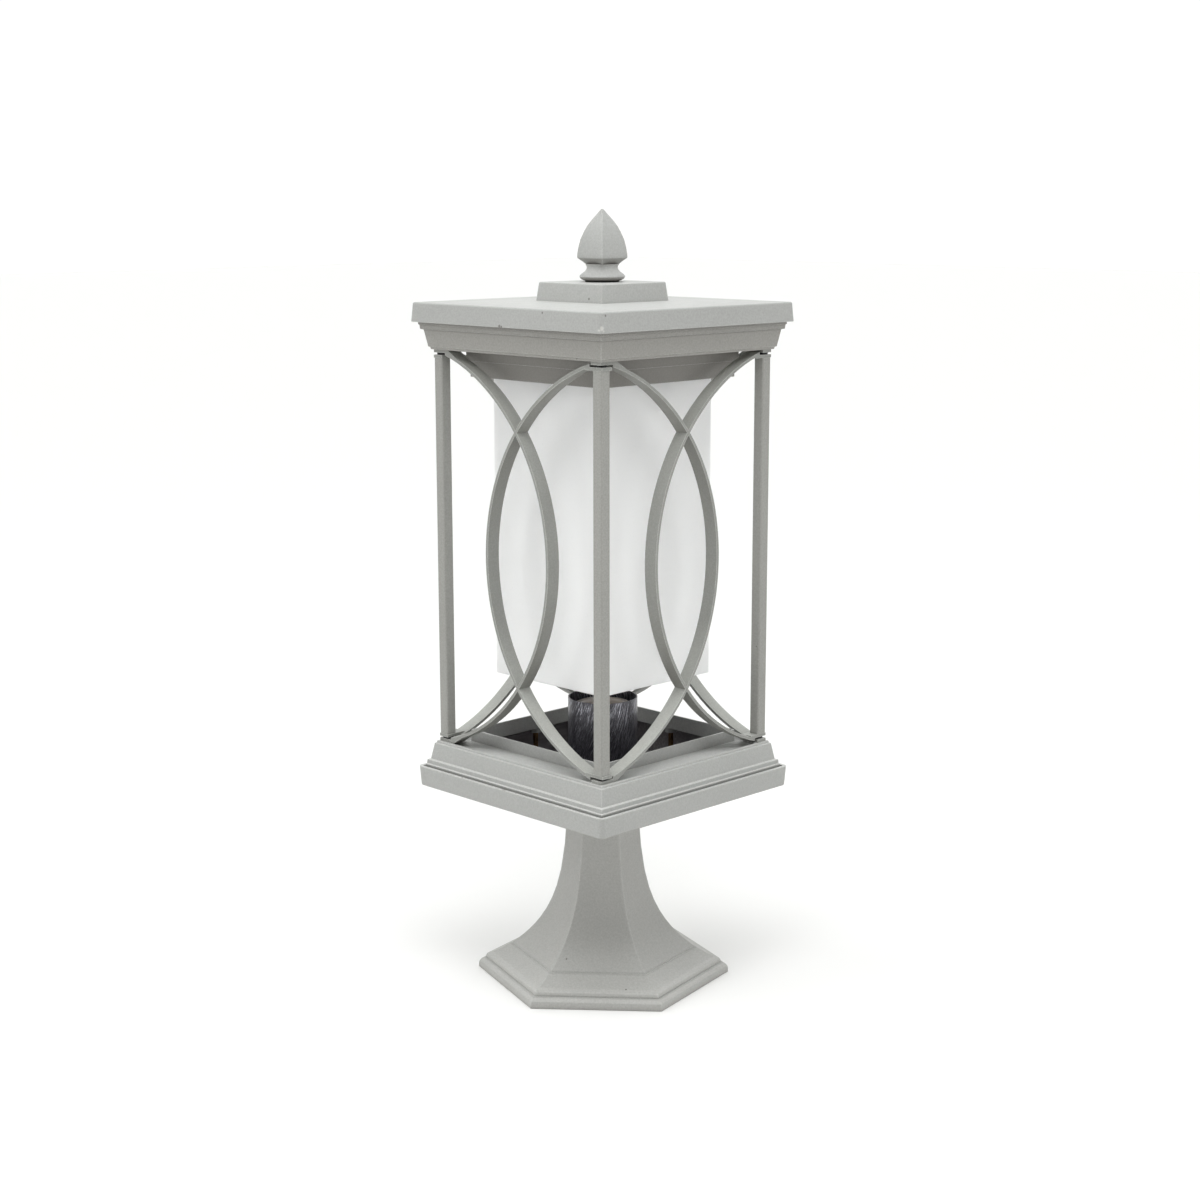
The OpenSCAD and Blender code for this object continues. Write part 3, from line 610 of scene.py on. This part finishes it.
def make_camera():
    az, el, dist, roll = math.radians(45.433), math.radians(11.003), 1.5757, math.radians(-0.072)
    back = Vector((math.sin(az) * math.cos(el), -math.cos(az) * math.cos(el), math.sin(el)))
    right = Vector((math.cos(az), math.sin(az), 0))
    up = back.cross(right)
    r2 = right * math.cos(roll) + up * math.sin(roll)
    u2 = -right * math.sin(roll) + up * math.cos(roll)
    rot = Matrix((r2, u2, back)).transposed()
    cam = bpy.data.cameras.new("camera")
    cam.sensor_width = 36.0
    cam.lens = 62.286
    cam.clip_start, cam.clip_end = 0.05, 60
    o = bpy.data.objects.new("camera", cam)
    scene.collection.objects.link(o)
    o.matrix_world = Matrix.Translation((1.100535, -1.086816, 0.595902)) @ rot.to_4x4()
    scene.camera = o


def floor():
    bm = bmesh.new()
    bmesh.ops.create_grid(bm, x_segments=1, y_segments=1, size=14)
    me = bpy.data.meshes.new("floor")
    bm.to_mesh(me)
    bm.free()
    o = bpy.data.objects.new("floor", me)
    scene.collection.objects.link(o)
    o.location.z = -0.0002
    m = Mat("floor_look")
    me.materials.append(m.set(base=(0.94, 0.936, 0.931, 1), rough=0.9, spec=0.1))


def area(name, pos, target, size, power, size_y=None, colour=(1, 1, 1)):
    li = bpy.data.lights.new(name, "AREA")
    li.shape = "RECTANGLE"
    li.size, li.size_y = size, size_y or size
    li.energy = power
    li.color = colour
    o = bpy.data.objects.new(name, li)
    scene.collection.objects.link(o)
    o.location = pos
    o.rotation_euler = (Vector(target) - Vector(pos)).to_track_quat("-Z", "Y").to_euler()
    o.visible_camera = False
    return o


HORIZON, LOW_SKY, OPEN_TOP, TOP_NEAR, TOP_LAMP = 1.05, 0.08, 0.66, 1.0, 4.6
BOX_LEFT, BOX_RIGHT, BOX_NEAR, BOX_FAR = 2.9, 1.8, 0.1, 1.6


def studio():
    """Two broad soft boxes beside the object, a weaker one behind it, an open top and a white cyclorama round the horizon."""
    w = bpy.data.worlds.new("studio")
    scene.world = w
    w.use_nodes = True
    nt = w.node_tree
    bg = nt.nodes["Background"]

    def node(op, a, b=0.0):
        n = nt.nodes.new("ShaderNodeMath")
        n.operation = op
        for s, v in zip(n.inputs, (a, b)):
            if isinstance(v, (int, float)):
                s.default_value = v
            else:
                nt.links.new(v, s)
        return n.outputs[0]

    def fade(v, lo, hi, a=0.0, b=1.0):
        n = nt.nodes.new("ShaderNodeMapRange")
        n.interpolation_type = "SMOOTHSTEP"
        nt.links.new(v, n.inputs[0])
        for i, x in enumerate((lo, hi, a, b)):
            n.inputs[i + 1].default_value = x
        return n.outputs[0]

    az = math.radians(45.4)
    ca, sa = math.cos(az), math.sin(az)
    tc = nt.nodes.new("ShaderNodeTexCoord")
    xyz = nt.nodes.new("ShaderNodeSeparateXYZ")
    nt.links.new(tc.outputs["Generated"], xyz.inputs[0])
    x, y, z = xyz.outputs
    flat = node("SQRT", node("MAXIMUM", node("SUBTRACT", 1.0, node("MULTIPLY", z, z)), 0.0001))
    near = node("DIVIDE", node("SUBTRACT", node("MULTIPLY", x, sa), node("MULTIPLY", y, ca)), flat)
    right = node("DIVIDE", node("ADD", node("MULTIPLY", x, ca), node("MULTIPLY", y, sa)), flat)
    boxes = 0.0
    for v, lo, hi, power in ((right, -0.78, -0.95, BOX_LEFT), (right, 0.78, 0.95, BOX_RIGHT), (near, 0.58, 0.84, BOX_NEAR), (near, -0.58, -0.84, BOX_FAR)):
        boxes = node("ADD", boxes, fade(v, lo, hi, 0.0, power))
    belt = node("MULTIPLY", fade(z, 0.38, 0.46), fade(z, 0.82, 0.72))
    low = node("MULTIPLY", fade(z, 0.24, 0.34, HORIZON, LOW_SKY), fade(near, 0.2, 0.8, 1.0, 0.86))
    total = node("ADD", node("MULTIPLY", boxes, belt), low)
    total = node("ADD", total, fade(z, 0.70, 0.84, 0.0, OPEN_TOP))
    total = node("ADD", total, node("MULTIPLY", fade(z, 0.74, 0.86), fade(near, -0.1, 0.5, 0.0, TOP_NEAR)))
    nt.links.new(total, bg.inputs[1])
    tint = nt.nodes.new("ShaderNodeMix")
    tint.data_type = "RGBA"
    nt.links.new(fade(z, 0.26, 0.42), tint.inputs[0])
    tint.inputs[6].default_value = (1.0, 0.992, 0.982, 1)
    tint.inputs[7].default_value = (0.988, 1.0, 0.988, 1)
    nt.links.new(tint.outputs[2], bg.inputs[0])
    area("top_near", (sa * 0.55, -ca * 0.55, 1.25), (0, 0, 0.42), 0.6, TOP_LAMP)
    scene.view_settings.view_transform = "Standard"
    scene.view_settings.look = "None"
    scene.view_settings.exposure = 0.0
    scene.view_settings.gamma = 1.0


make_camera()
floor()
studio()
